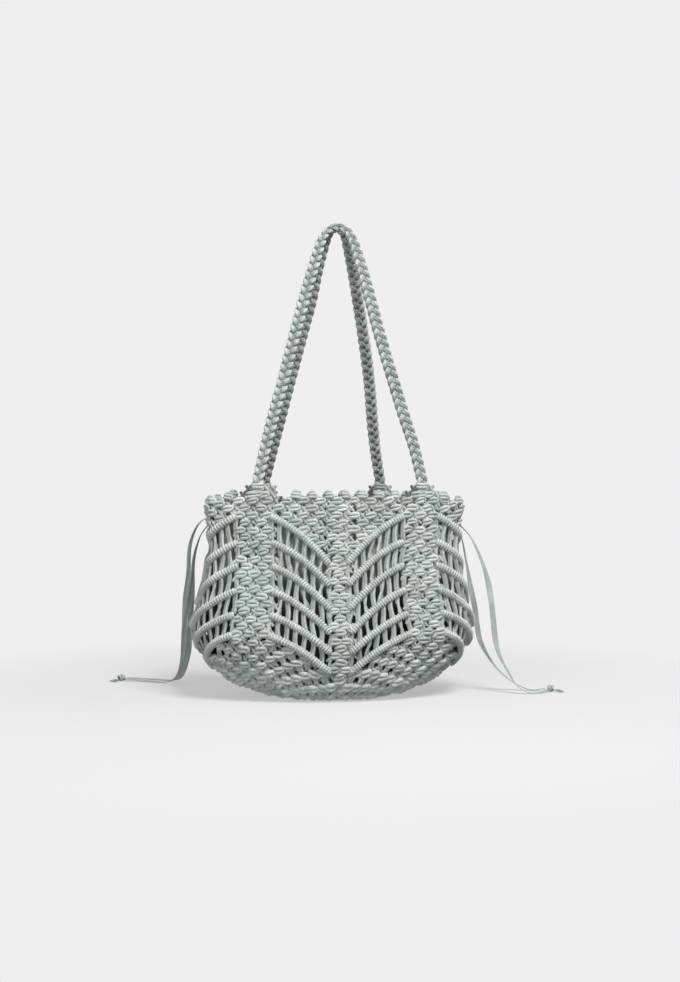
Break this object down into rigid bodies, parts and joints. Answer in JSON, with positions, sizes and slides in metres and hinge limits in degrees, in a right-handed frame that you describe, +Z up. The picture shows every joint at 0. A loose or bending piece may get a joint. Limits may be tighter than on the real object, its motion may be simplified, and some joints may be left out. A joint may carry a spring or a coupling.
{
  "type": "macrame tote bag",
  "caption": "Knotted cotton tote bag with open chevron rows, a picot rim, braided shoulder straps, a cloth pouch inside and drawstring tapes.",
  "frame": {"origin": "on the ground under the middle of the bag", "axes": "+Z up, -Y the front that the picture shows, +X to the front view's right"},
  "size_m": [0.5319, 0.2309, 0.5643],
  "materials": {
    "cotton_cord": "matt braided cotton cord, pale grey green",
    "lining_cloth": "thin plain woven cloth, pale sage",
    "drawstring_tape": "flat woven tape, soft sheen, grey green"
  },
  "bodies": {
    "root": {"macrame_body": "cotton_cord", "strap_front": "cotton_cord", "strap_back": "cotton_cord", "strap_tab_front_left": "cotton_cord", "strap_tab_front_right": "cotton_cord", "strap_tab_back_left": "cotton_cord", "strap_tab_back_right": "cotton_cord", "lining_pouch": "lining_cloth", "ribbon_left_a": "drawstring_tape", "ribbon_left_b": "drawstring_tape", "ribbon_right_a": "drawstring_tape", "ribbon_right_b": "drawstring_tape", "ribbon_knot_left": "drawstring_tape", "ribbon_knot_right": "drawstring_tape"}
  },
  "joints": []
}
